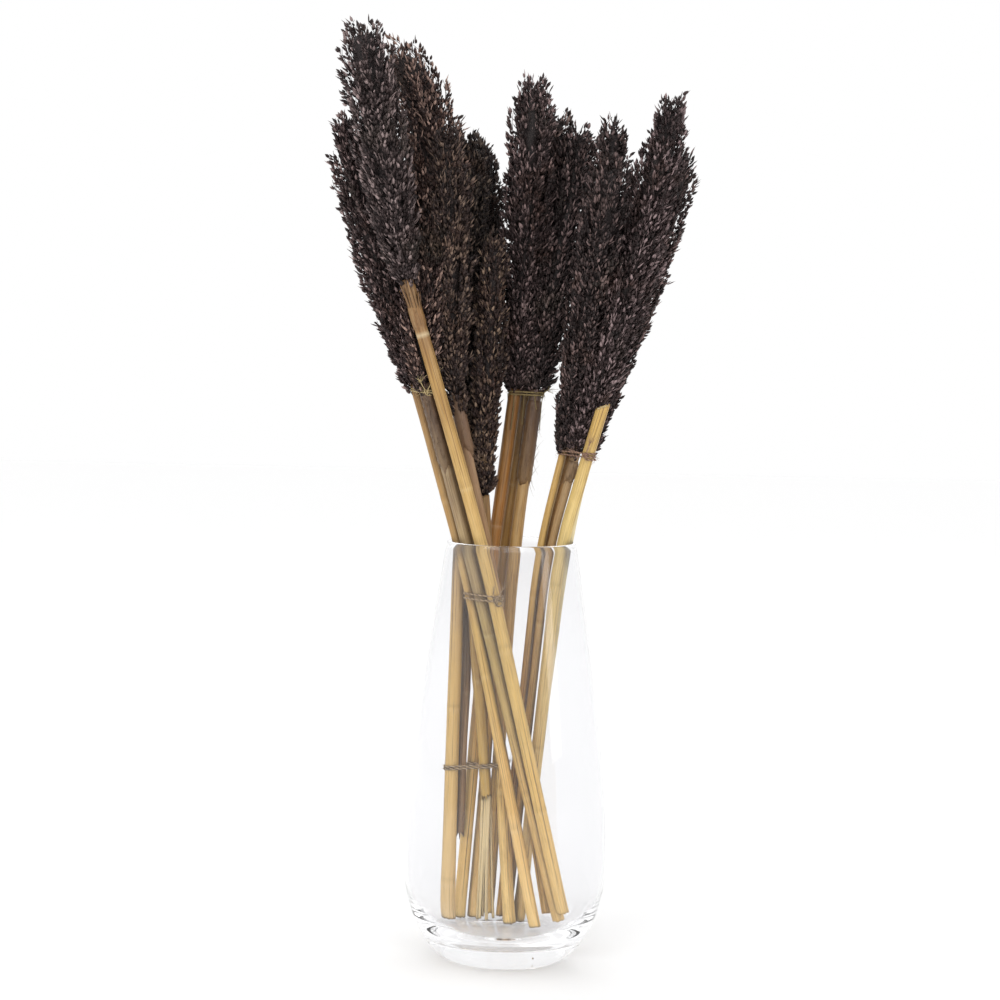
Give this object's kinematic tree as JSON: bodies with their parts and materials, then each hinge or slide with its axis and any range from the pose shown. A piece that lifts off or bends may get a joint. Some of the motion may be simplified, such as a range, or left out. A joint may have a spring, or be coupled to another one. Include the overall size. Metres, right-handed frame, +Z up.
{
  "type": "glass vase with dried grass bunches",
  "caption": "Tall clear glass vase with a heavy floor, holding tied bunches of dried dark sorghum that lift out.",
  "frame": {"origin": "centre of the vase's foot, on the surface it stands on", "axes": "+Z up along the vase's axis, +X to the right and -Y towards the front as the arrangement is seen"},
  "size_m": [0.2531, 0.148, 0.6615],
  "materials": {
    "glass": "gloss",
    "cane": "satin",
    "seed_head": "matte",
    "twine": "matte"
  },
  "bodies": {
    "vase": {"vase": "glass"},
    "left_bunch": {"left_cane_1": "cane", "left_cane_2": "cane", "left_cane_3": "cane", "left_cane_4": "cane", "left_head_1": "seed_head", "left_head_2": "seed_head", "left_head_3": "seed_head", "left_head_4": "seed_head", "left_upper_tie": "twine", "left_lower_tie": "twine"},
    "back_bunch": {"back_cane_1": "cane", "back_cane_2": "cane", "back_cane_3": "cane", "back_cane_4": "cane", "back_head_1": "seed_head", "back_head_2": "seed_head", "back_head_3": "seed_head", "back_upper_tie": "twine", "back_lower_tie": "twine"},
    "middle_bunch": {"middle_cane_1": "cane", "middle_cane_2": "cane", "middle_cane_3": "cane", "middle_head_1": "seed_head", "middle_head_2": "seed_head", "middle_head_3": "seed_head", "middle_tie": "twine"},
    "right_bunch": {"right_cane_1": "cane", "right_cane_2": "cane", "right_cane_3": "cane", "right_cane_4": "cane", "right_cane_5": "cane", "right_head_1": "seed_head", "right_head_2": "seed_head", "right_head_3": "seed_head", "right_head_4": "seed_head", "right_tie": "twine"}
  },
  "joints": [
    {"name": "left_lift", "type": "slide", "parent": "vase", "child": "left_bunch", "axis": [-0.1866, -0.0196, 0.9822], "range_m": [0, 0.3]},
    {"name": "back_lift", "type": "slide", "parent": "vase", "child": "back_bunch", "axis": [0.02, -0.01, 0.9998], "range_m": [0, 0.3]},
    {"name": "middle_lift", "type": "slide", "parent": "vase", "child": "middle_bunch", "axis": [0.0599, 0.01, 0.9982], "range_m": [0, 0.3]},
    {"name": "right_lift", "type": "slide", "parent": "vase", "child": "right_bunch", "axis": [0.0618, -0.0598, 0.9963], "range_m": [0, 0.3]}
  ]
}
